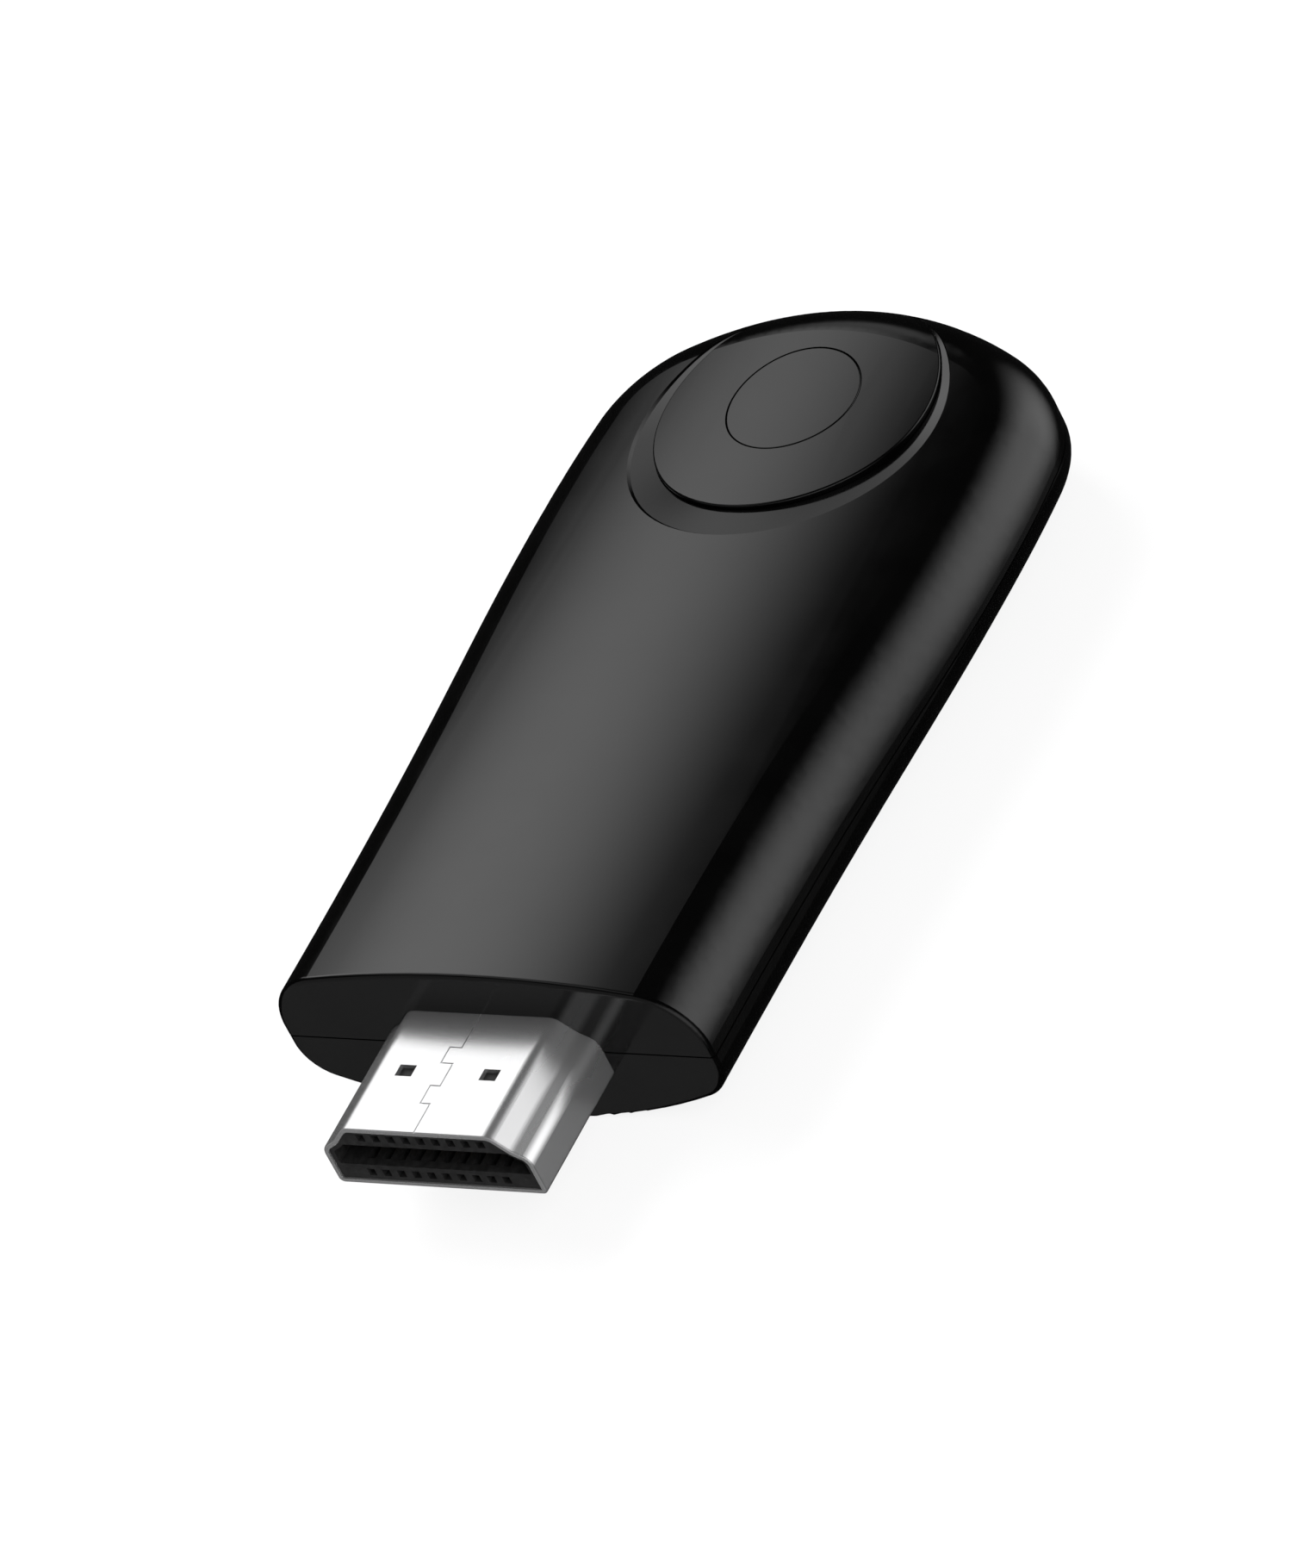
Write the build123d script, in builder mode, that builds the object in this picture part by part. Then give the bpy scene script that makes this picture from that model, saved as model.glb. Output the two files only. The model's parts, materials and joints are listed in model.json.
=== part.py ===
from build123d import *
import math
import os

# A small screen receiver: a plug stands out of the flat front face of a two-part casing.
# Sizes are in millimetres. +X is to the right, +Y runs from the plug to the rounded rear
# end, +Z is up. The origin is the middle of the plug where it leaves the front face.

# Casing, seen from above
body_length = 55.6
front_half_width = 14.27
widest_half_width = 15.77
widest_from_rear = 16.1
flank_radius = 70.0
flank_hold = 1.8
corner_radius = 8.7
end_radius = 23.8

# Casing, seen from the front
seam_height = -0.33
crown_rise = 5.52
crown_fall = 1.9
crown_edge_radius = 4.0
belly_drop = 5.8
belly_climb = 4.0
belly_edge_radius = 2.8
belly_flat = 0.25
wall = 1.2
front_edge_radius = 0.3
seam_gap = 0.1
seam_depth = 0.25
upright_wall = 0.05

# Lip of the lower cover, standing inside the upper one
lip_inset = 0.65
lip_height = 0.7
lip_gap = 0.05

# Disc on the crown, its seat and the dished recess around it
disc_from_rear = 9.6
disc_radius = 8.85
disc_gap = 0.06
disc_skin_bottom = 3.9
disc_ring_width = 1.05
disc_edge_radius = 0.12
seat_top = 2.6
seat_thickness = 0.8
seat_margin = 1.2
dish_radius = 9.96
dish_shift = 1.22
dish_depth = 0.25
dish_ease = 0.9
dish_floor_slope = 0.055
dish_wall_slope = 1.0
dish_sweep = 150.0
dish_steps = 10
dish_overlap = 0.3

# Push button in the middle of the disc
key_radius = 4.15
key_gap = 0.06
key_flange_width = 0.7
key_flange_thickness = 0.5
key_flange_gap = 0.05
key_stem_radius = 1.3
key_stem_gap = 0.2
key_travel = 0.25
key_free_play = 0.05
key_edge_radius = 0.08

# Circuit board
board_thickness = 1.2
board_half_width = 12.4
board_front = 4.5
board_shoulder = 8.5
board_rear_gap = 3.4
board_corner_radius = 6.0
mask_edge_radius = 1.0

# Posts that hold the board
post_radius = 1.3
post_half_span = 10.2
post_front = 12.0
post_from_rear = 16.0
peg_radius = 0.6
peg_gap = 0.06
peg_rise = 0.9

# Plug
plug_half_width = 6.95
plug_half_height = 2.225
plug_narrow_half_width = 4.9
plug_shoulder_half_width = 5.95
plug_shoulder_height = 1.12
plug_side_top = 0.5
plug_side_radius = 0.9
plug_narrow_edge_radius = 0.95
plug_shoulder_radius = 1.2
plug_base_radius = 0.35
plug_sheet = 0.3
plug_reach = 9.0
plug_root = 3.5
plug_opening_gap = 0.03
plug_mouth_radius = 0.08
ear_end = 8.0
ear_half_height = 0.35
window_width = 1.1
window_length = 0.85
window_from_middle = 2.8
window_centre = -4.45
joint_groove = 0.09
joint_depth = 0.05
joint_first_step = -2.55
joint_first_back = -3.75
joint_second_step = -5.45
joint_second_back = -6.8
joint_first_jog = -0.8
joint_second_jog = -0.65

# Contact block and contacts of the plug
block_recess = 0.12
block_slot_wall = 0.3
block_slot_half_height = 0.78
block_slot_depth = 7.4
contact_pitch = 1.0
contact_width = 0.32
contact_thickness = 0.2
contact_tip_recess = 1.5
contact_tail = 2.0
upper_contact_count = 9
lower_contact_count = 10
groove_width = 0.5
groove_outer = 1.65
window_inner = 1.13
block_lip_depth = 0.5
groove_length = 6.6

# Power inlet
inlet_half_width = 3.75
inlet_half_height = 1.3
inlet_base_half_width = 2.75
inlet_side_bottom = -0.2
inlet_edge_radius = 0.3
inlet_sheet = 0.25
inlet_setback = 0.4
inlet_length = 5.6
inlet_opening_gap = 0.12
inlet_back = 1.6
inlet_board_gap = 0.1
inlet_tab_width = 1.1
inlet_tab_length = 1.8
tongue_half_width = 1.85
tongue_thickness = 0.6
tongue_bottom = 0.1
tongue_tip = 0.3
tongue_setback = 0.9
inlet_contact_count = 5
inlet_contact_pitch = 0.65
inlet_contact_width = 0.38
inlet_contact_thickness = 0.12

# Switch under the button
switch_width = 3.8
switch_length = 3.2
switch_floor = 0.1
switch_frame_thickness = 0.15
switch_well_radius = 1.4
plunger_radius = 0.75
plunger_gap = 0.05
plunger_flange_radius = 1.1
plunger_flange_thickness = 0.12
plunger_rest_gap = 0.02
plunger_floor_gap = 0.03
plunger_headroom = 0.1
dome_radius = 1.3
dome_thickness = 0.06

# Parts on the top of the board
processor_side = 13.0
processor_height = 1.1
memory_width = 11.0
memory_length = 7.5
memory_height = 1.0
memory_gap = 0.8
pad_side = 12.0
pad_thickness = 0.8
spreader_width = 17.6
spreader_length = 15.6
spreader_thickness = 0.7
spreader_corner_radius = 1.0
spreader_seat_gap = 0.8
crystal_width = 2.5
crystal_length = 3.2
crystal_height = 0.7
crystal_corner_radius = 0.4
crystal_side = 9.3
crystal_from_processor = 8.0
antenna_width = 2.0
antenna_length = 5.0
antenna_height = 1.0
antenna_side = 9.0
antenna_from_rear = 10.0
regulator_width = 1.6
regulator_length = 2.9
regulator_height = 1.1
regulator_side = -8.2
regulator_from_rear = 10.5
regulator_leg = 1.0
regulator_leg_width = 0.4
regulator_leg_height = 0.15
regulator_leg_pitch = 0.95
capacitor_width = 0.8
capacitor_length = 1.6
capacitor_height = 0.8
capacitor_columns = 2
capacitor_rows = 6
capacitor_column_pitch = 18.0
capacitor_row_pitch = 2.2
resistor_width = 0.5
resistor_length = 1.0
resistor_height = 0.35
resistor_columns = 5
resistor_rows = 2
resistor_column_pitch = 1.6
resistor_row_pitch = 2.0
resistor_from_disc = 7.4

# Parts on the underside of the board
module_side = 13.0
module_thickness = 0.6
module_chip_side = 6.0
module_chip_height = 0.8
module_centre = 27.0
can_side = 12.0
can_height = 1.5
can_sheet = 0.2
can_edge_radius = 0.3
flash_width = 5.2
flash_length = 6.0
flash_height = 1.6
flash_centre = 14.5
inductor_side = 4.0
inductor_height = 1.8
inductor_corner_radius = 0.6
inductor_half_span = 6.8
inductor_from_rear = 11.0

# Levels and places that follow from the sizes above
board_top = board_thickness / 2
board_bottom = -board_top
widest_at = body_length - widest_from_rear
crown_top = seam_height + crown_rise
crown_radius = (widest_half_width**2 + crown_fall**2) / (2 * crown_fall)
belly_bottom = seam_height - belly_drop
belly_radius = (widest_half_width**2 + belly_climb**2) / (2 * belly_climb)
disc_centre = body_length - disc_from_rear
board_rear = body_length - board_rear_gap
post_rear = body_length - post_from_rear
inlet_mouth = body_length - inlet_setback
over_crown = 2 * crown_rise
seat_bottom = seat_top - seat_thickness
seat_radius = disc_radius + seat_margin
disc_hollow_radius = disc_radius - disc_ring_width
key_flange_top = disc_skin_bottom - key_flange_gap
key_flange_bottom = key_flange_top - key_flange_thickness
dome_rise = key_travel + plunger_floor_gap - dome_thickness - plunger_rest_gap
well_floor = board_top + switch_floor
plunger_flange_bottom = well_floor + dome_rise + dome_thickness + plunger_rest_gap
switch_frame_bottom = plunger_flange_bottom + plunger_flange_thickness + plunger_headroom
switch_frame_top = switch_frame_bottom + switch_frame_thickness
plunger_top = switch_frame_top + key_travel
block_front = block_recess - plug_reach
contact_inner = board_top
contact_outer = contact_inner + contact_thickness
inlet_rear = inlet_mouth - inlet_length
inlet_cut_length = body_length + wall - inlet_rear
post_places = [(side * post_half_span, row) for side in (-1, 1) for row in (post_front, post_rear)]
processor_centre = disc_centre - seat_radius - spreader_seat_gap - spreader_length / 2
memory_centre = processor_centre - processor_side / 2 - memory_gap - memory_length / 2
resistor_centre = disc_centre - resistor_from_disc
crystal_place = (crystal_side, processor_centre + crystal_from_processor)
antenna_place = (antenna_side, body_length - antenna_from_rear)
regulator_place = (regulator_side, body_length - regulator_from_rear)
inductor_row = body_length - inductor_from_rear


def circle_crossing(first, first_radius, second, second_radius):
    """Crossing, on the +X side, of two circles that lie one behind the other."""
    span = second - first
    along = (first_radius**2 - second_radius**2 + span.length**2) / (2 * span.length)
    across = math.sqrt(first_radius**2 - along**2)
    ahead = span.normalized()
    return first + ahead * along + Vector(-ahead.Y, ahead.X) * across


def plan_face(inset, height):
    """Outline of the casing from above, drawn in by the inset, at one height."""
    flank_centre = Vector(widest_half_width - flank_radius, widest_at)
    end_centre = Vector(0, body_length - end_radius)
    corner_centre = circle_crossing(
        flank_centre, flank_radius - corner_radius, end_centre, end_radius - corner_radius
    )
    from_flank = (corner_centre - flank_centre).normalized()
    from_end = (corner_centre - end_centre).normalized()
    flank_middle = (from_flank + Vector(1, 0)).normalized()
    corner_middle = (from_flank + from_end).normalized()
    end_middle = (from_end + Vector(0, 1)).normalized()

    front = Vector(front_half_width - inset, inset)
    widest = Vector(widest_half_width - inset, widest_at)
    corner_start = corner_centre + from_flank * (corner_radius - inset)
    corner_end = corner_centre + from_end * (corner_radius - inset)
    with BuildSketch(Plane.XY.offset(height)) as plan:
        with BuildLine():
            Line((0, inset), front)
            Spline(front, widest, tangents=[(0, 1), (0, 1)], tangent_scalars=[flank_hold, 1])
            ThreePointArc(widest, flank_centre + flank_middle * (flank_radius - inset), corner_start)
            ThreePointArc(corner_start, corner_centre + corner_middle * (corner_radius - inset), corner_end)
            ThreePointArc(
                corner_end, end_centre + end_middle * (end_radius - inset), (0, body_length - inset)
            )
            mirror(about=Plane.YZ)
        make_face()
    return plan.sketch


def edge_in_wall(radius, arc_radius, rise):
    """Edge radius, or the largest one that leaves the side wall upright beside the seam."""
    reach = arc_radius**2 - widest_half_width**2 - (arc_radius - rise + upright_wall) ** 2
    return min(radius, reach / (2 * (arc_radius - widest_half_width)))


def upper_blank(inset):
    """Solid form of the upper half, from the seam to the crown, drawn in by the inset."""
    edge_radius = edge_in_wall(crown_edge_radius, crown_radius, crown_rise)
    with BuildPart() as blank:
        extrude(plan_face(inset, seam_height), amount=crown_rise - inset)
        with BuildSketch(Plane.XZ):
            with Locations((0, crown_top - crown_radius)):
                Circle(crown_radius - inset)
        extrude(amount=-body_length, mode=Mode.INTERSECT)
        crown = blank.faces().sort_by(Axis.Z)[-1]
        fillet(crown.edges().group_by(Axis.Y)[1:], edge_radius - inset)
    return blank.part


def lower_blank(inset):
    """Solid form of the lower half, from the seam down to the belly, drawn in by the inset."""
    edge_radius = edge_in_wall(belly_edge_radius, belly_radius, belly_drop)
    with BuildPart() as blank:
        extrude(plan_face(inset, seam_height), amount=inset - belly_drop)
        with BuildSketch(Plane.XZ):
            with Locations((0, belly_bottom + belly_radius)):
                Circle(belly_radius - inset)
        extrude(amount=-body_length, mode=Mode.INTERSECT)
        belly = blank.faces().sort_by(Axis.Z)[0]
        fillet(belly.edges().group_by(Axis.Y)[1:], edge_radius - inset)
    return blank.part


def plug_face(inset, place):
    """Plug outline, narrow side up, drawn in by the inset, on a plane at one place along Y."""
    with BuildSketch(Plane.XZ.offset(-place)) as outline:
        with BuildLine():
            FilletPolyline(
                (0, plug_half_height),
                (plug_narrow_half_width, plug_half_height),
                (plug_shoulder_half_width, plug_shoulder_height),
                (plug_half_width, plug_side_top),
                (plug_half_width, -plug_half_height),
                (0, -plug_half_height),
                radius=[plug_narrow_edge_radius, plug_shoulder_radius, plug_side_radius, plug_base_radius],
            )
            mirror(about=Plane.YZ)
        make_face()
        if inset:
            offset(amount=-inset, kind=Kind.INTERSECTION)
    return outline.sketch


def inlet_face(inset, place):
    """Outline of the power inlet, wide side up, drawn in by the inset, at one place along Y."""
    with BuildSketch(Plane.XZ.offset(-place)) as outline:
        with BuildLine():
            Polyline(
                (0, inlet_half_height),
                (inlet_half_width, inlet_half_height),
                (inlet_half_width, inlet_side_bottom),
                (inlet_base_half_width, -inlet_half_height),
                (0, -inlet_half_height),
            )
            mirror(about=Plane.YZ)
        make_face()
        fillet(outline.vertices(), inlet_edge_radius)
        if inset:
            offset(amount=-inset, kind=Kind.INTERSECTION)
    return outline.sketch


def box_between(low, high):
    """Box from its lowest corner to its highest one."""
    size = Vector(high) - Vector(low)
    return Pos(*low) * Box(size.X, size.Y, size.Z, align=Align.MIN, mode=Mode.PRIVATE)


def rectangle_block(width, length, bottom, height, places=((0, 0),), corner=0.0):
    """One upright block for each place, all of one size, standing at one height."""
    with BuildPart() as block:
        with BuildSketch(Plane.XY.offset(bottom)):
            with Locations(*places):
                if corner:
                    RectangleRounded(width, length, corner)
                else:
                    Rectangle(width, length)
        extrude(amount=height)
    return block.part


def post_blank(radius, bottom, height):
    """The four round posts of one cover, or the holes for their pegs."""
    with BuildPart() as posts:
        with BuildSketch(Plane.XY.offset(bottom)):
            with Locations(*post_places):
                Circle(radius)
        extrude(amount=height)
    return posts.part


def finish(piece, name):
    """Name a finished piece and write it."""
    piece.label = name
    export_step(piece, f"parts/{name}.step")


os.makedirs("parts", exist_ok=True)
upper_form = upper_blank(0)
lower_form = lower_blank(0)


def surface_height(x, y):
    """Height of the casing's outer surface over one point of the plan."""
    line = Axis((x, y, over_crown), (0, 0, -1))
    return upper_form.shells()[0].find_intersection_points(line)[0][0].Z


def dish_section(angle):
    """Plane and corners of the recess around the disc, at one angle from the front."""
    turn = math.radians(angle)
    outward = Vector(math.sin(turn), -math.cos(turn))
    radial = Plane(
        origin=(0, disc_centre, 0), x_dir=outward, z_dir=Vector(outward.Y, -outward.X, 0)
    )
    rim = dish_shift * math.cos(turn)
    rim += math.sqrt(dish_radius**2 - (dish_shift * math.sin(turn)) ** 2)
    at_rim = surface_height(outward.X * rim, disc_centre + outward.Y * rim)
    width = rim - disc_radius
    depth = dish_depth * width / (width + dish_ease)
    foot = rim - depth / dish_wall_slope
    inner = disc_radius - dish_overlap
    corners = [
        (inner, at_rim - depth - dish_floor_slope * (foot - inner)),
        (foot, at_rim - depth),
        (rim + dish_overlap, at_rim + dish_wall_slope * dish_overlap),
        (rim + dish_overlap, over_crown),
        (inner, over_crown),
    ]
    return radial, corners


# Recess around the disc: nearly level, with a sloping outer wall that meets the disc at the rear
with BuildPart() as dish:
    for step in range(dish_steps + 1):
        plane, corners = dish_section(dish_sweep * step / dish_steps)
        with BuildSketch(plane):
            with BuildLine():
                Polyline(*corners, close=True)
            make_face()
    loft()
    mirror(about=Plane.YZ)

# Upper cover
with BuildPart() as upper_cavity:
    add(upper_blank(wall))
    with BuildSketch(Plane.XY.offset(seat_bottom)):
        with Locations((0, disc_centre)):
            Circle(seat_radius)
    extrude(amount=crown_rise, mode=Mode.SUBTRACT)
    add(post_blank(post_radius, board_top, crown_rise), mode=Mode.SUBTRACT)

with BuildPart() as upper_cover:
    add(upper_form)
    front = upper_cover.faces().sort_by(Axis.Y)[0]
    fillet(front.edges().group_by(Axis.Z)[1:], front_edge_radius)
    add(upper_cavity.part, mode=Mode.SUBTRACT)
    add(dish.part, mode=Mode.SUBTRACT)
    # Rebate for the lower cover's lip
    extrude(
        plan_face(lip_inset - lip_gap, seam_height), amount=lip_height + lip_gap, mode=Mode.SUBTRACT
    )
    # Seat of the disc, with the hole for the button's stem
    with BuildSketch(Plane.XY.offset(seat_top)):
        with Locations((0, disc_centre)):
            Circle(disc_radius + disc_gap)
    extrude(amount=crown_rise, mode=Mode.SUBTRACT)
    with BuildSketch(Plane.XY.offset(seat_bottom)):
        with Locations((0, disc_centre)):
            Circle(key_stem_radius + key_stem_gap)
    extrude(amount=seat_thickness, mode=Mode.SUBTRACT)
    # Holes for the lower posts' pegs
    add(post_blank(peg_radius + peg_gap, board_top, peg_rise), mode=Mode.SUBTRACT)
    # Openings for the plug and the power inlet
    extrude(plug_face(-plug_opening_gap, 0), amount=-wall, mode=Mode.SUBTRACT)
    extrude(plug_face(-plug_opening_gap, 0), amount=front_edge_radius, mode=Mode.SUBTRACT)
    extrude(
        inlet_face(-inlet_opening_gap, inlet_rear), amount=-inlet_cut_length, mode=Mode.SUBTRACT
    )
finish(upper_cover.part, "upper_cover")

# Lower cover
with BuildPart() as lower_cavity:
    add(lower_blank(wall))
    add(post_blank(post_radius, board_bottom, belly_bottom - board_bottom), mode=Mode.SUBTRACT)

# Rebate all round its upper edge, which shows as the dark parting line
with BuildPart() as seam_line:
    extrude(plan_face(0, seam_height), amount=-seam_gap)
    extrude(plan_face(seam_depth, seam_height), amount=-seam_gap, mode=Mode.SUBTRACT)

with BuildPart() as lower_cover:
    add(lower_form)
    front = lower_cover.faces().sort_by(Axis.Y)[0]
    fillet(front.edges().group_by(Axis.Z)[:-1], front_edge_radius)
    split(bisect_by=Plane.XY.offset(belly_bottom + belly_flat), keep=Keep.TOP)
    add(seam_line.part, mode=Mode.SUBTRACT)
    add(lower_cavity.part, mode=Mode.SUBTRACT)
    # Lip that stands inside the upper cover
    extrude(plan_face(lip_inset, seam_height), amount=lip_height)
    extrude(plan_face(wall, seam_height), amount=lip_height, mode=Mode.SUBTRACT)
    # Pegs through the board
    add(post_blank(peg_radius, board_bottom, board_thickness + peg_rise - peg_gap))
    extrude(plug_face(-plug_opening_gap, 0), amount=-wall, mode=Mode.SUBTRACT)
    extrude(plug_face(-plug_opening_gap, 0), amount=front_edge_radius, mode=Mode.SUBTRACT)
    extrude(
        inlet_face(-inlet_opening_gap, inlet_rear), amount=-inlet_cut_length, mode=Mode.SUBTRACT
    )
finish(lower_cover.part, "lower_cover")

# Disc on the crown: a cap with a skin on top and a ring that stands on the seat
with BuildPart() as disc_cap:
    add(upper_form)
    with BuildSketch(Plane.XY.offset(seat_top)):
        with Locations((0, disc_centre)):
            Circle(disc_radius)
    extrude(amount=crown_rise, mode=Mode.INTERSECT)
    rim = disc_cap.edges().filter_by(GeomType.LINE, reverse=True).group_by(Axis.Z)[1:]
    fillet(rim, disc_edge_radius)
    with BuildSketch(Plane.XY.offset(seat_top)):
        with Locations((0, disc_centre)):
            Circle(disc_hollow_radius)
    extrude(amount=disc_skin_bottom - seat_top, mode=Mode.SUBTRACT)
    with BuildSketch(Plane.XY.offset(disc_skin_bottom)):
        with Locations((0, disc_centre)):
            Circle(key_radius + key_gap)
    extrude(amount=crown_rise, mode=Mode.SUBTRACT)
finish(disc_cap.part, "disc_cap")

# Push button, held under the disc by its flange
with BuildPart() as mode_button:
    add(upper_form)
    with BuildSketch(Plane.XY.offset(key_flange_top)):
        with Locations((0, disc_centre)):
            Circle(key_radius)
    extrude(amount=crown_rise, mode=Mode.INTERSECT)
    fillet(mode_button.faces().sort_by(Axis.Z)[-1].edges(), key_edge_radius)
    with BuildSketch(Plane.XY.offset(key_flange_bottom)):
        with Locations((0, disc_centre)):
            Circle(key_radius + key_flange_width)
    extrude(amount=key_flange_thickness)
    with BuildSketch(Plane.XY.offset(plunger_top + key_free_play)):
        with Locations((0, disc_centre)):
            Circle(key_stem_radius)
    extrude(amount=key_flange_bottom - plunger_top - key_free_play)
finish(mode_button.part, "mode_button")

# Plug shell: folded sheet with two ears that clasp the board
with BuildPart() as hdmi_shell:
    extrude(plug_face(0, plug_root), amount=plug_root + plug_reach)
    mouth = hdmi_shell.faces().sort_by(Axis.Y)[0]
    fillet(mouth.edges(), plug_mouth_radius)
    extrude(plug_face(plug_sheet, plug_root), amount=plug_root + plug_reach, mode=Mode.SUBTRACT)
    # Latch windows in both broad faces
    with BuildSketch(Plane.XY.offset(-plug_half_height)):
        with Locations((-window_from_middle, window_centre), (window_from_middle, window_centre)):
            Rectangle(window_width, window_length)
    extrude(amount=2 * plug_half_height, mode=Mode.SUBTRACT)
    # Joint of the folded sheet, a stepped line along the narrow face
    with BuildSketch(Plane.XY.offset(plug_half_height - joint_depth)):
        with BuildLine():
            joint = Polyline(
                (0, plug_root),
                (0, joint_first_step),
                (joint_first_jog, joint_first_step),
                (joint_first_jog, joint_first_back),
                (0, joint_first_back),
                (0, joint_second_step),
                (joint_second_jog, joint_second_step),
                (joint_second_jog, joint_second_back),
                (0, joint_second_back),
                (0, -plug_reach),
            )
        trace(joint, joint_groove)
    extrude(amount=2 * joint_depth, mode=Mode.SUBTRACT)
    # Ears
    ear_middle = plug_half_width - plug_sheet / 2
    with BuildSketch(Plane.XZ.offset(-ear_end)):
        with Locations((-ear_middle, 0), (ear_middle, 0)):
            Rectangle(plug_sheet, 2 * ear_half_height)
    extrude(amount=ear_end - plug_root)
finish(hdmi_shell.part, "hdmi_shell")


def contact_row(count, inner, thickness, start, length, width=contact_width, pitch=contact_pitch):
    """Straight contact strips side by side, all lying at one height."""
    with BuildPart() as strips:
        with BuildSketch(Plane.XY.offset(inner)):
            with GridLocations(pitch, pitch, count, 1):
                with Locations((0, start + length / 2)):
                    Rectangle(width, length)
        extrude(amount=thickness)
    return strips.part


contact_start = block_front + contact_tip_recess
contact_length = board_front + contact_tail - contact_start
upper_contacts = contact_row(
    upper_contact_count, contact_inner, contact_thickness, contact_start, contact_length
)
lower_contacts = contact_row(
    lower_contact_count, -contact_outer, contact_thickness, contact_start, contact_length
)

# Contact block: a moulding with a slot for the mating tongue and a groove for each contact
with BuildPart() as block_slot:
    extrude(plug_face(plug_sheet + block_slot_wall, block_front), amount=-block_slot_depth)
    with BuildSketch(Plane.XZ.offset(-block_front)):
        Rectangle(2 * plug_half_width, 2 * block_slot_half_height)
    extrude(amount=-block_slot_depth, mode=Mode.INTERSECT)

with BuildPart() as hdmi_insulator:
    extrude(plug_face(plug_sheet, board_front), amount=board_front - block_front)
    add(block_slot.part, mode=Mode.SUBTRACT)
    for count, side in ((upper_contact_count, 1), (lower_contact_count, -1)):
        # Windows through the front lip
        with BuildSketch(Plane.XZ.offset(-block_front)):
            with Locations((0, side * (window_inner + groove_outer) / 2)):
                with GridLocations(contact_pitch, contact_pitch, count, 1):
                    Rectangle(groove_width, groove_outer - window_inner)
        extrude(amount=-block_lip_depth, mode=Mode.SUBTRACT)
        # Grooves behind it, in which the contacts can flex
        with BuildSketch(Plane.XZ.offset(-block_front - block_lip_depth)):
            with Locations((0, side * (contact_inner + groove_outer) / 2)):
                with GridLocations(contact_pitch, contact_pitch, count, 1):
                    Rectangle(groove_width, groove_outer - contact_inner)
        extrude(amount=-groove_length, mode=Mode.SUBTRACT)
    add(upper_contacts, mode=Mode.SUBTRACT)
    add(lower_contacts, mode=Mode.SUBTRACT)
finish(hdmi_insulator.part, "hdmi_insulator")
finish(upper_contacts, "hdmi_upper_contacts")
finish(lower_contacts, "hdmi_lower_contacts")

# Power inlet: shell with two tabs on the board, set into a notch of the board's rear edge
with BuildPart() as usb_shell:
    extrude(inlet_face(0, inlet_mouth), amount=inlet_length)
    extrude(inlet_face(inlet_sheet, inlet_mouth), amount=inlet_length, mode=Mode.SUBTRACT)
    tab_middle = inlet_half_width + inlet_tab_width / 2 - inlet_sheet / 2
    with BuildSketch(Plane.XY.offset(board_top)):
        with Locations(
            *[(side * tab_middle, inlet_rear + inlet_tab_length / 2) for side in (-1, 1)]
        ):
            Rectangle(inlet_tab_width + inlet_sheet, inlet_tab_length)
    extrude(amount=inlet_sheet)
finish(usb_shell.part, "usb_shell")

tongue_front = inlet_mouth - tongue_setback
tongue_back = inlet_rear + inlet_back
with BuildPart() as usb_tongue:
    extrude(inlet_face(inlet_sheet, tongue_back), amount=inlet_back)
    add(
        box_between(
            (-tongue_half_width, tongue_back, tongue_bottom),
            (tongue_half_width, tongue_front, tongue_bottom + tongue_thickness),
        )
    )
finish(usb_tongue.part, "usb_tongue")
usb_contacts = contact_row(
    inlet_contact_count,
    tongue_bottom - inlet_contact_thickness,
    inlet_contact_thickness,
    tongue_back,
    tongue_front - tongue_back - tongue_tip,
    inlet_contact_width,
    inlet_contact_pitch,
)
finish(usb_contacts, "usb_contacts")

# Circuit board
with BuildPart() as main_board:
    with BuildSketch(Plane.XY.offset(board_bottom)) as board:
        with Locations((0, board_shoulder)):
            Rectangle(
                2 * board_half_width, board_rear - board_shoulder, align=(Align.CENTER, Align.MIN)
            )
        fillet(board.vertices().group_by(Axis.Y)[-1], board_corner_radius)
        fillet(board.vertices().group_by(Axis.Y)[0], mask_edge_radius)
        with Locations((0, board_front)):
            Rectangle(
                2 * (plug_half_width - plug_sheet),
                board_shoulder - board_front,
                align=(Align.CENTER, Align.MIN),
            )
        with Locations((0, inlet_rear - inlet_board_gap)):
            Rectangle(
                2 * (inlet_half_width + inlet_board_gap),
                board_rear - inlet_rear + inlet_board_gap,
                align=(Align.CENTER, Align.MIN),
                mode=Mode.SUBTRACT,
            )
        with Locations(*post_places):
            Circle(peg_radius + peg_gap, mode=Mode.SUBTRACT)
    extrude(amount=board_thickness)
finish(main_board.part, "main_board")

# Switch under the button: base with a well, sprung dome, frame and plunger
with BuildPart() as switch_base:
    with BuildSketch(Plane.XY.offset(board_top)):
        with Locations((0, disc_centre)):
            Rectangle(switch_width, switch_length)
    extrude(amount=switch_frame_bottom - board_top)
    with BuildSketch(Plane.XY.offset(switch_frame_bottom)):
        with Locations((0, disc_centre)):
            Circle(switch_well_radius)
    extrude(amount=well_floor - switch_frame_bottom, mode=Mode.SUBTRACT)
finish(switch_base.part, "switch_base")

with BuildPart() as switch_frame:
    with BuildSketch(Plane.XY.offset(switch_frame_bottom)):
        with Locations((0, disc_centre)):
            Rectangle(switch_width, switch_length)
            Circle(plunger_radius + plunger_gap, mode=Mode.SUBTRACT)
    extrude(amount=switch_frame_thickness)
finish(switch_frame.part, "switch_frame")

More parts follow.
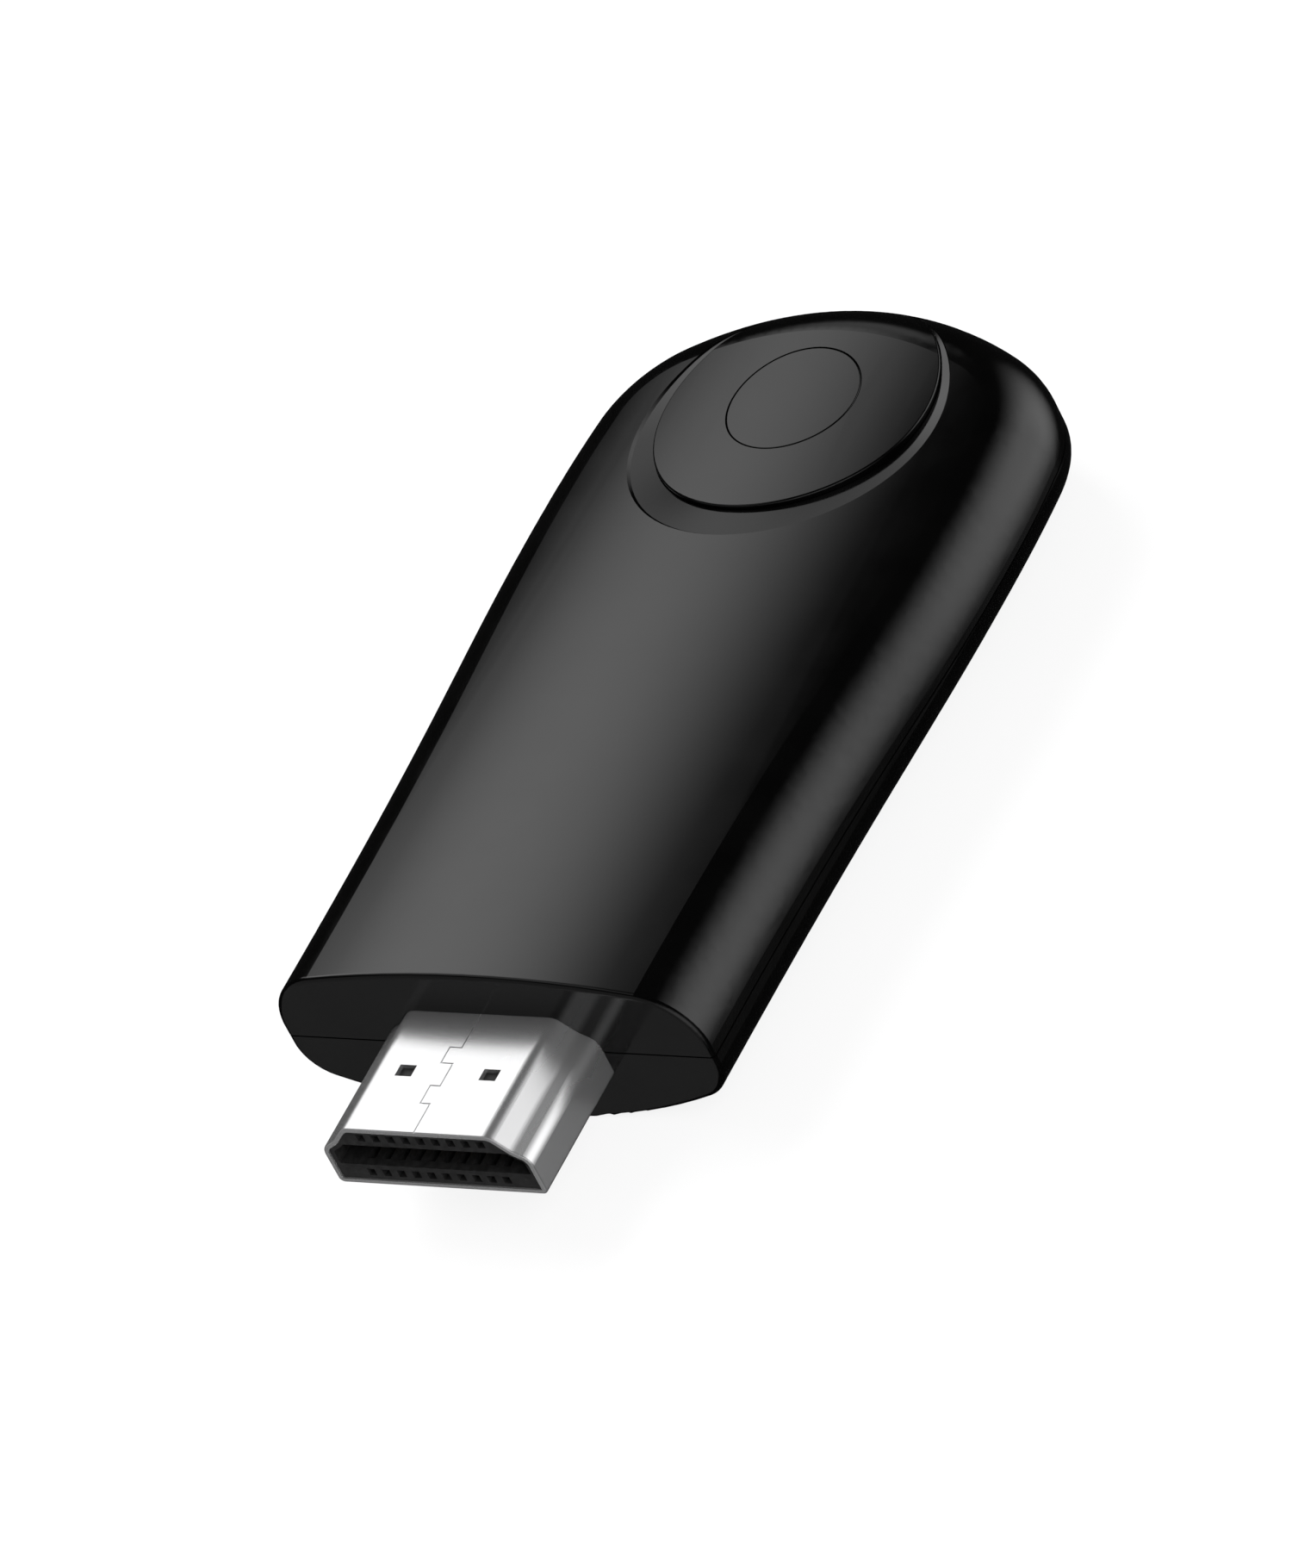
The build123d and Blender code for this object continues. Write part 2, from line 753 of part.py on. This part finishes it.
dome_sphere = (dome_radius**2 + dome_rise**2) / (2 * dome_rise)
with BuildPart() as switch_dome:
    with BuildSketch(Plane.XZ.offset(-disc_centre)):
        with BuildLine():
            Polyline((0, well_floor + dome_rise), (0, well_floor + dome_rise + dome_thickness))
            RadiusArc(
                (0, well_floor + dome_rise + dome_thickness),
                (dome_radius, well_floor + dome_thickness),
                dome_sphere,
            )
            Line((dome_radius, well_floor + dome_thickness), (dome_radius, well_floor))
            RadiusArc((dome_radius, well_floor), (0, well_floor + dome_rise), -dome_sphere)
        make_face()
    revolve(axis=Axis((0, disc_centre, 0), (0, 0, 1)))
finish(switch_dome.part, "switch_dome")

with BuildPart() as switch_plunger:
    with BuildSketch(Plane.XY.offset(plunger_flange_bottom)):
        with Locations((0, disc_centre)):
            Circle(plunger_flange_radius)
    extrude(amount=plunger_flange_thickness)
    with BuildSketch(Plane.XY.offset(plunger_top)):
        with Locations((0, disc_centre)):
            Circle(plunger_radius)
    extrude(amount=plunger_flange_bottom - plunger_top)
finish(switch_plunger.part, "switch_plunger")

# Chips on the top of the board
processor = rectangle_block(
    processor_side, processor_side, board_top, processor_height, [(0, processor_centre)]
)
finish(processor, "processor")
pad_bottom = board_top + processor_height
thermal_pad = rectangle_block(pad_side, pad_side, pad_bottom, pad_thickness, [(0, processor_centre)])
finish(thermal_pad, "thermal_pad")
heat_spreader = rectangle_block(
    spreader_width,
    spreader_length,
    pad_bottom + pad_thickness,
    spreader_thickness,
    [(0, processor_centre)],
    spreader_corner_radius,
)
finish(heat_spreader, "heat_spreader")
memory_chip = rectangle_block(
    memory_width, memory_length, board_top, memory_height, [(0, memory_centre)]
)
finish(memory_chip, "memory_chip")
crystal = rectangle_block(
    crystal_width, crystal_length, board_top, crystal_height, [crystal_place], crystal_corner_radius
)
finish(crystal, "crystal")
chip_antenna = rectangle_block(
    antenna_width, antenna_length, board_top, antenna_height, [antenna_place]
)
finish(chip_antenna, "chip_antenna")

# Regulator: a small body on two rows of legs
with BuildPart() as power_regulator:
    with BuildSketch(Plane.XY.offset(board_top + regulator_leg_height)):
        with Locations(regulator_place):
            Rectangle(regulator_width, regulator_length)
    extrude(amount=regulator_height - regulator_leg_height)
    with BuildSketch(Plane.XY.offset(board_top)):
        with Locations(regulator_place):
            with GridLocations(regulator_width, regulator_leg_pitch, 2, 3):
                Rectangle(regulator_leg, regulator_leg_width)
    extrude(amount=2 * regulator_leg_height)
finish(power_regulator.part, "power_regulator")

# Small passive parts
with BuildPart() as capacitors:
    with BuildSketch(Plane.XY.offset(board_top)):
        with Locations((0, processor_centre)):
            with GridLocations(
                capacitor_column_pitch, capacitor_row_pitch, capacitor_columns, capacitor_rows
            ):
                Rectangle(capacitor_length, capacitor_width)
    extrude(amount=capacitor_height)
finish(capacitors.part, "capacitors")
with BuildPart() as resistors:
    with BuildSketch(Plane.XY.offset(board_top)):
        with Locations((0, resistor_centre)):
            with GridLocations(resistor_column_pitch, resistor_row_pitch, resistor_columns, resistor_rows):
                Rectangle(resistor_width, resistor_length)
    extrude(amount=resistor_height)
finish(resistors.part, "resistors")

# Radio board with its chip, and the lid over it, on the underside
with BuildPart() as wifi_module:
    with BuildSketch(Plane.XY.offset(board_bottom)):
        with Locations((0, module_centre)):
            Rectangle(module_side, module_side)
    extrude(amount=-module_thickness)
    with BuildSketch(Plane.XY.offset(board_bottom - module_thickness)):
        with Locations((0, module_centre)):
            Rectangle(module_chip_side, module_chip_side)
    extrude(amount=-module_chip_height)
finish(wifi_module.part, "wifi_module")

can_top = board_bottom - module_thickness
with BuildPart() as radio_can:
    with BuildSketch(Plane.XY.offset(can_top)):
        with Locations((0, module_centre)):
            Rectangle(can_side, can_side)
    extrude(amount=-can_height)
    fillet(radio_can.faces().sort_by(Axis.Z)[0].edges(), can_edge_radius)
    with BuildSketch(Plane.XY.offset(can_top)):
        with Locations((0, module_centre)):
            Rectangle(can_side - 2 * can_sheet, can_side - 2 * can_sheet)
    extrude(amount=can_sheet - can_height, mode=Mode.SUBTRACT)
finish(radio_can.part, "radio_can")

flash_chip = rectangle_block(flash_width, flash_length, board_bottom, -flash_height, [(0, flash_centre)])
finish(flash_chip, "flash_chip")
power_inductors = rectangle_block(
    inductor_side,
    inductor_side,
    board_bottom,
    -inductor_height,
    [(-inductor_half_span, inductor_row), (inductor_half_span, inductor_row)],
    inductor_corner_radius,
)
finish(power_inductors, "power_inductors")
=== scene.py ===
import json
import math

import bmesh
import bpy
from mathutils import Matrix, Vector


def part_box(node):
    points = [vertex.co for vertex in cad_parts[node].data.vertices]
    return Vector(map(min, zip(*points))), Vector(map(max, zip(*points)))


# A small black screen receiver: polished mouldings, a bright steel plug, a disc with a push
# button on the crown. Metres and degrees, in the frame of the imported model.

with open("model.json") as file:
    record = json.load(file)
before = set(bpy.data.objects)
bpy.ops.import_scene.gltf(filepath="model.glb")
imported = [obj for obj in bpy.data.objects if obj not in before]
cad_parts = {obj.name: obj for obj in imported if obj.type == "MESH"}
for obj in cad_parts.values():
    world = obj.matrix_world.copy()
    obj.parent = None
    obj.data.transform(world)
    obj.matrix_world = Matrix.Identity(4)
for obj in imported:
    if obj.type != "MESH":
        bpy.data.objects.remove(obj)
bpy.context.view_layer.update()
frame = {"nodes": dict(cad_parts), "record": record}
nodes = frame["nodes"]
scene = bpy.context.scene

# Camera
view_azimuth = 43.818
view_elevation = 37.445
view_roll = 28.022
view_distance = 0.70282
view_aim = Vector((0.00635, 0.01367, 0.0068))
view_lens = 291.1
view_sensor = 36.0
view_near = 0.01
view_far = 20.0

# Stage
white = (1.0, 1.0, 1.0, 1.0)
world_level = 0.45
floor_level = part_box("lower_cover")[0].z
floor_gap = 0.00004
floor_half = 3.0
floor_tone = (0.88, 0.88, 0.885, 1.0)
backdrop_share = 0.86

# Soft square lamps: place and power
lamp_size = 0.5
lamps = {
    "left_lamp": ((-0.5, 0.25, 0.6), 9.0),
    "right_lamp": ((0.6, -0.3, 0.5), 6.0),
}

# Tent, and the soft lamps in its cloth: degrees round the Y axis from straight up, degrees towards
# the rear end, radius of the full light and of its faded edge in degrees, and level
tent_radius = 4.0
tent_columns = 64
tent_rows = 32
tent_level = 0.01
tent_lamps = [
    (77.6, 49.9, 10.0, 49.7, 1.68),
    (-44.6, 24.1, 7.8, 23.1, 1.84),
    (77.6, -49.9, 10.0, 49.7, 0.8),
    (-30.0, -5.0, 5.0, 22.0, 0.5),
    (-93.0, -67.0, 42.0, 46.0, 0.19),
    (-46.0, 49.0, 4.0, 13.0, 0.45),
]

# Mottling: its usual fineness, its detail, and the part of the noise that makes the mask
usual_scale = 900.0
mottle_detail = 3.0
mottle_low = 0.3
mottle_high = 0.7

# Finish of each material slot: darker and lighter tone, least and most roughness, fineness of the
# grain and, where it has them, height of the relief, stretch along Y and share of metal
gloss_dark = (0.0006, 0.0006, 0.0006)
gloss_light = (0.0009, 0.0009, 0.0009)
fine_relief = 0.00001
coarse_relief = 0.00002
finish_values = {
    "casing": {"dark": gloss_dark, "light": gloss_light, "rough": (0.1, 0.13), "scale": 260.0},
    "disc": {"dark": gloss_dark, "light": gloss_light, "rough": (0.11, 0.14), "scale": 260.0},
    "plug_steel": {
        "dark": (0.775, 0.775, 0.78),
        "light": (0.785, 0.785, 0.79),
        "rough": (0.265, 0.275),
        "scale": 250.0,
        "stretch": 0.4,
        "metal": 0.91,
    },
    "contact_block": {
        "dark": (0.008, 0.008, 0.008),
        "light": (0.014, 0.014, 0.014),
        "rough": (0.45, 0.6),
        "scale": 3000.0,
        "relief": fine_relief,
    },
    "contact_gold": {
        "dark": (0.72, 0.5, 0.2),
        "light": (0.85, 0.63, 0.28),
        "rough": (0.2, 0.32),
        "scale": 3000.0,
        "stretch": 0.1,
        "metal": 1.0,
    },
    "board": {
        "dark": (0.01, 0.07, 0.03),
        "light": (0.02, 0.1, 0.05),
        "rough": (0.3, 0.42),
        "scale": 700.0,
    },
    "chip": {
        "dark": (0.02, 0.02, 0.021),
        "light": (0.034, 0.034, 0.036),
        "rough": (0.5, 0.66),
        "scale": 6000.0,
        "relief": fine_relief,
    },
    "shield": {
        "dark": (0.55, 0.55, 0.53),
        "light": (0.66, 0.66, 0.64),
        "rough": (0.25, 0.4),
        "scale": 2000.0,
        "stretch": 0.1,
        "metal": 1.0,
    },
    "ceramic_body": {
        "dark": (0.5, 0.4, 0.28),
        "light": (0.62, 0.52, 0.38),
        "rough": (0.4, 0.55),
        "scale": 5000.0,
    },
    "resistor_body": {
        "dark": (0.02, 0.02, 0.024),
        "light": (0.05, 0.05, 0.055),
        "rough": (0.3, 0.45),
        "scale": 5000.0,
    },
    "ferrite": {
        "dark": (0.06, 0.06, 0.064),
        "light": (0.1, 0.1, 0.105),
        "rough": (0.6, 0.75),
        "scale": 4000.0,
        "relief": coarse_relief,
    },
    "spreader": {
        "dark": (0.5, 0.5, 0.51),
        "light": (0.6, 0.6, 0.61),
        "rough": (0.3, 0.45),
        "scale": 1600.0,
        "stretch": 0.05,
        "metal": 1.0,
    },
    "pad": {
        "dark": (0.26, 0.36, 0.46),
        "light": (0.34, 0.45, 0.55),
        "rough": (0.7, 0.85),
        "scale": 2500.0,
        "relief": coarse_relief,
    },
    "spring_steel": {
        "dark": (0.62, 0.62, 0.61),
        "light": (0.74, 0.74, 0.73),
        "rough": (0.2, 0.32),
        "scale": 2600.0,
        "stretch": 0.1,
        "metal": 1.0,
    },
    "switch_black": {
        "dark": (0.014, 0.014, 0.014),
        "light": (0.024, 0.024, 0.024),
        "rough": (0.5, 0.65),
        "scale": 4000.0,
    },
}


def place_camera():
    """Camera at the photograph's angle, turned about its own line of sight."""
    azimuth = math.radians(view_azimuth)
    elevation = math.radians(view_elevation)
    back = Vector(
        (
            math.sin(azimuth) * math.cos(elevation),
            -math.cos(azimuth) * math.cos(elevation),
            math.sin(elevation),
        )
    )
    camera = bpy.data.objects.new("camera", bpy.data.cameras.new("camera"))
    camera.data.lens = view_lens
    camera.data.sensor_width = view_sensor
    camera.data.clip_start = view_near
    camera.data.clip_end = view_far
    level = (-back).to_track_quat("-Z", "Y").to_matrix().to_4x4()
    turned = Matrix.Rotation(-math.radians(view_roll), 4, "Z")
    camera.matrix_world = Matrix.Translation(view_aim + back * view_distance) @ level @ turned
    scene.collection.objects.link(camera)
    scene.camera = camera


# Small helpers for node trees


def new_tree(name):
    """A material with an empty node tree."""
    material = bpy.data.materials.new(name)
    material.use_nodes = True
    material.node_tree.nodes.clear()
    return material, material.node_tree


def add_node(tree, kind, **inputs):
    """One node, with the values of its named inputs."""
    node = tree.nodes.new(kind)
    for name, value in inputs.items():
        node.inputs[name].default_value = value
    return node


def show_surface(tree, kind, shader):
    """The output node of a material or of the world, with its surface."""
    output = tree.nodes.new(kind)
    tree.links.new(shader.outputs[0], output.inputs["Surface"])


def math_node(tree, operation, first, second=None):
    """A Math node on one or two sockets or numbers, and its result."""
    node = tree.nodes.new("ShaderNodeMath")
    node.operation = operation
    for slot, value in zip(node.inputs, (first, second)):
        if isinstance(value, bpy.types.NodeSocket):
            tree.links.new(value, slot)
        elif value is not None:
            slot.default_value = value
    return node.outputs[0]


def vector_node(tree, operation, first):
    """A Vector Math node with its first vector."""
    node = tree.nodes.new("ShaderNodeVectorMath")
    node.operation = operation
    tree.links.new(first, node.inputs[0])
    return node


def range_node(tree, value, low, high, out_low, out_high, smooth=False):
    """A value moved from one range to another, clamped at both ends."""
    node = tree.nodes.new("ShaderNodeMapRange")
    node.interpolation_type = "SMOOTHSTEP" if smooth else "LINEAR"
    tree.links.new(value, node.inputs["Value"])
    for name, number in (("From Min", low), ("From Max", high), ("To Min", out_low), ("To Max", out_high)):
        node.inputs[name].default_value = number
    return node.outputs["Result"]


def mix_colour(tree, mask, first, second):
    """A colour that goes from the first to the second by the mask."""
    node = tree.nodes.new("ShaderNodeMix")
    node.data_type = "RGBA"
    tree.links.new(mask, node.inputs["Factor"])
    for name, colour in (("A", first), ("B", second)):
        slot = [s for s in node.inputs if s.name == name and s.type == "RGBA"][0]
        slot.default_value = (*colour, 1.0)
    return [s for s in node.outputs if s.type == "RGBA"][0]


def seen_ray(tree):
    """1 for rays from the camera, from a mirror or through glass, and 0 for lighting."""
    path = tree.nodes.new("ShaderNodeLightPath")
    seen = math_node(tree, "ADD", path.outputs["Is Camera Ray"], path.outputs["Is Glossy Ray"])
    seen = math_node(tree, "ADD", seen, path.outputs["Is Transmission Ray"])
    return math_node(tree, "MINIMUM", seen, 1.0)


# Studio


def light_world():
    """White surroundings where they are seen, and a plain level of light from all round."""
    world = bpy.data.worlds.new("studio")
    world.use_nodes = True
    scene.world = world
    tree = world.node_tree
    tree.nodes.clear()
    background = add_node(tree, "ShaderNodeBackground", Color=white)
    strength = range_node(tree, seen_ray(tree), 0.0, 1.0, world_level, 1.0)
    tree.links.new(strength, background.inputs["Strength"])
    show_surface(tree, "ShaderNodeOutputWorld", background)


def lay_floor():
    """Pale floor that shows white and keeps a soft shadow."""
    mesh = bpy.data.meshes.new("floor")
    half = floor_half
    level = floor_level - floor_gap
    corners = [(-half, -half, level), (half, -half, level), (half, half, level), (-half, half, level)]
    mesh.from_pydata(corners, [], [(0, 1, 2, 3)])
    floor = bpy.data.objects.new("floor", mesh)
    scene.collection.objects.link(floor)
    material, tree = new_tree("floor")
    matte = add_node(tree, "ShaderNodeBsdfDiffuse", Color=floor_tone)
    glow = add_node(tree, "ShaderNodeEmission", Color=white, Strength=1.0)
    share = math_node(tree, "MULTIPLY", seen_ray(tree), backdrop_share)
    mixed = tree.nodes.new("ShaderNodeMixShader")
    tree.links.new(share, mixed.inputs[0])
    tree.links.new(matte.outputs[0], mixed.inputs[1])
    tree.links.new(glow.outputs[0], mixed.inputs[2])
    show_surface(tree, "ShaderNodeOutputMaterial", mixed)
    mesh.materials.append(material)
    floor.visible_glossy = False


def hang_lamp(name, place, power):
    """Soft square lamp that faces the object. The polished parts show the tent instead of it."""
    lamp = bpy.data.lights.new(name, "AREA")
    lamp.shape = "RECTANGLE"
    lamp.size = lamp_size
    lamp.size_y = lamp_size
    lamp.energy = power
    hung = bpy.data.objects.new(name, lamp)
    hung.location = place
    hung.rotation_mode = "QUATERNION"
    hung.rotation_quaternion = (view_aim - Vector(place)).to_track_quat("-Z", "Y")
    hung.visible_glossy = False
    scene.collection.objects.link(hung)


def tent_direction(azimuth, elevation):
    """Direction at an angle round the Y axis from straight up, raised towards the rear end."""
    turn = math.radians(azimuth)
    rise = math.radians(elevation)
    return (math.sin(turn) * math.cos(rise), math.sin(rise), math.cos(turn) * math.cos(rise))


def glowing_cloth():
    """Cloth of the tent: a low level all over, and a round soft patch of light for each lamp."""
    material, tree = new_tree("light_tent")
    place = tree.nodes.new("ShaderNodeTexCoord").outputs["Object"]
    ahead = vector_node(tree, "NORMALIZE", place).outputs[0]
    total = tent_level
    for azimuth, elevation, full, edge, level in tent_lamps:
        facing = vector_node(tree, "DOT_PRODUCT", ahead)
        facing.inputs[1].default_value = tent_direction(azimuth, elevation)
        away = math_node(tree, "ARCCOSINE", facing.outputs["Value"])
        lit = range_node(tree, away, math.radians(full), math.radians(edge), level, 0.0, True)
        total = math_node(tree, "ADD", lit, total)
    glow = add_node(tree, "ShaderNodeEmission", Color=white)
    tree.links.new(total, glow.inputs["Strength"])
    show_surface(tree, "ShaderNodeOutputMaterial", glow)
    material.cycles.emission_sampling = "NONE"
    return material


def pitch_tent():
    """Dark tent round the set, that only mirrored rays see."""
    mesh = bpy.data.meshes.new("light_tent")
    shell = bmesh.new()
    bmesh.ops.create_uvsphere(shell, u_segments=tent_columns, v_segments=tent_rows, radius=tent_radius)
    shell.to_mesh(mesh)
    shell.free()
    mesh.materials.append(glowing_cloth())
    tent = bpy.data.objects.new("light_tent", mesh)
    tent.visible_camera = False
    tent.visible_diffuse = False
    tent.visible_transmission = False
    tent.visible_shadow = False
    scene.collection.objects.link(tent)


# Finishes


def mottle_group():
    """Node group: fine mottling of a moulded or rolled face, as a mask and a height."""
    group = bpy.data.node_groups.new("mottle", "ShaderNodeTree")
    for name, usual in (("Scale", usual_scale), ("Stretch", 1.0)):
        socket = group.interface.new_socket(name, in_out="INPUT", socket_type="NodeSocketFloat")
        socket.default_value = usual
    for name in ("Mask", "Height"):
        group.interface.new_socket(name, in_out="OUTPUT", socket_type="NodeSocketFloat")
    given = group.nodes.new("NodeGroupInput")
    result = group.nodes.new("NodeGroupOutput")
    place = group.nodes.new("ShaderNodeTexCoord")
    stretch = add_node(group, "ShaderNodeCombineXYZ", X=1.0, Z=1.0)
    group.links.new(given.outputs["Stretch"], stretch.inputs["Y"])
    drawn = vector_node(group, "MULTIPLY", place.outputs["Object"])
    group.links.new(stretch.outputs[0], drawn.inputs[1])
    noise = add_node(group, "ShaderNodeTexNoise", Detail=mottle_detail)
    group.links.new(drawn.outputs[0], noise.inputs["Vector"])
    group.links.new(given.outputs["Scale"], noise.inputs["Scale"])
    mask = range_node(group, noise.outputs["Fac"], mottle_low, mottle_high, 0.0, 1.0, True)
    group.links.new(mask, result.inputs["Mask"])
    group.links.new(noise.outputs["Fac"], result.inputs["Height"])
    return group


def grained(name, mottle, dark, light, rough, scale, relief=0.0, stretch=1.0, metal=0.0):
    """A finish whose tone and roughness wander a little between two values."""
    material, tree = new_tree(name)
    shader = add_node(tree, "ShaderNodeBsdfPrincipled", Metallic=metal)
    grain = tree.nodes.new("ShaderNodeGroup")
    grain.node_tree = mottle
    grain.inputs["Scale"].default_value = scale
    grain.inputs["Stretch"].default_value = stretch
    tone = mix_colour(tree, grain.outputs["Mask"], dark, light)
    tree.links.new(tone, shader.inputs["Base Color"])
    roughness = range_node(tree, grain.outputs["Mask"], 0.0, 1.0, *rough)
    tree.links.new(roughness, shader.inputs["Roughness"])
    if relief:
        bump = add_node(tree, "ShaderNodeBump", Strength=1.0, Distance=relief)
        tree.links.new(grain.outputs["Height"], bump.inputs["Height"])
        tree.links.new(bump.outputs[0], shader.inputs["Normal"])
    show_surface(tree, "ShaderNodeOutputMaterial", shader)
    return material


def dress_nodes():
    """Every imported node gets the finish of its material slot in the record."""
    mottle = mottle_group()
    finishes = {name: grained(name, mottle, **values) for name, values in finish_values.items()}
    for part in frame["record"]["subparts"]:
        piece = nodes[part["node"]]
        piece.data.materials.clear()
        piece.data.materials.append(finishes[part["material_slot"]])


place_camera()
light_world()
lay_floor()
for lamp_name, (lamp_place, lamp_power) in lamps.items():
    hang_lamp(lamp_name, lamp_place, lamp_power)
pitch_tent()
dress_nodes()
scene.view_settings.view_transform = "Standard"
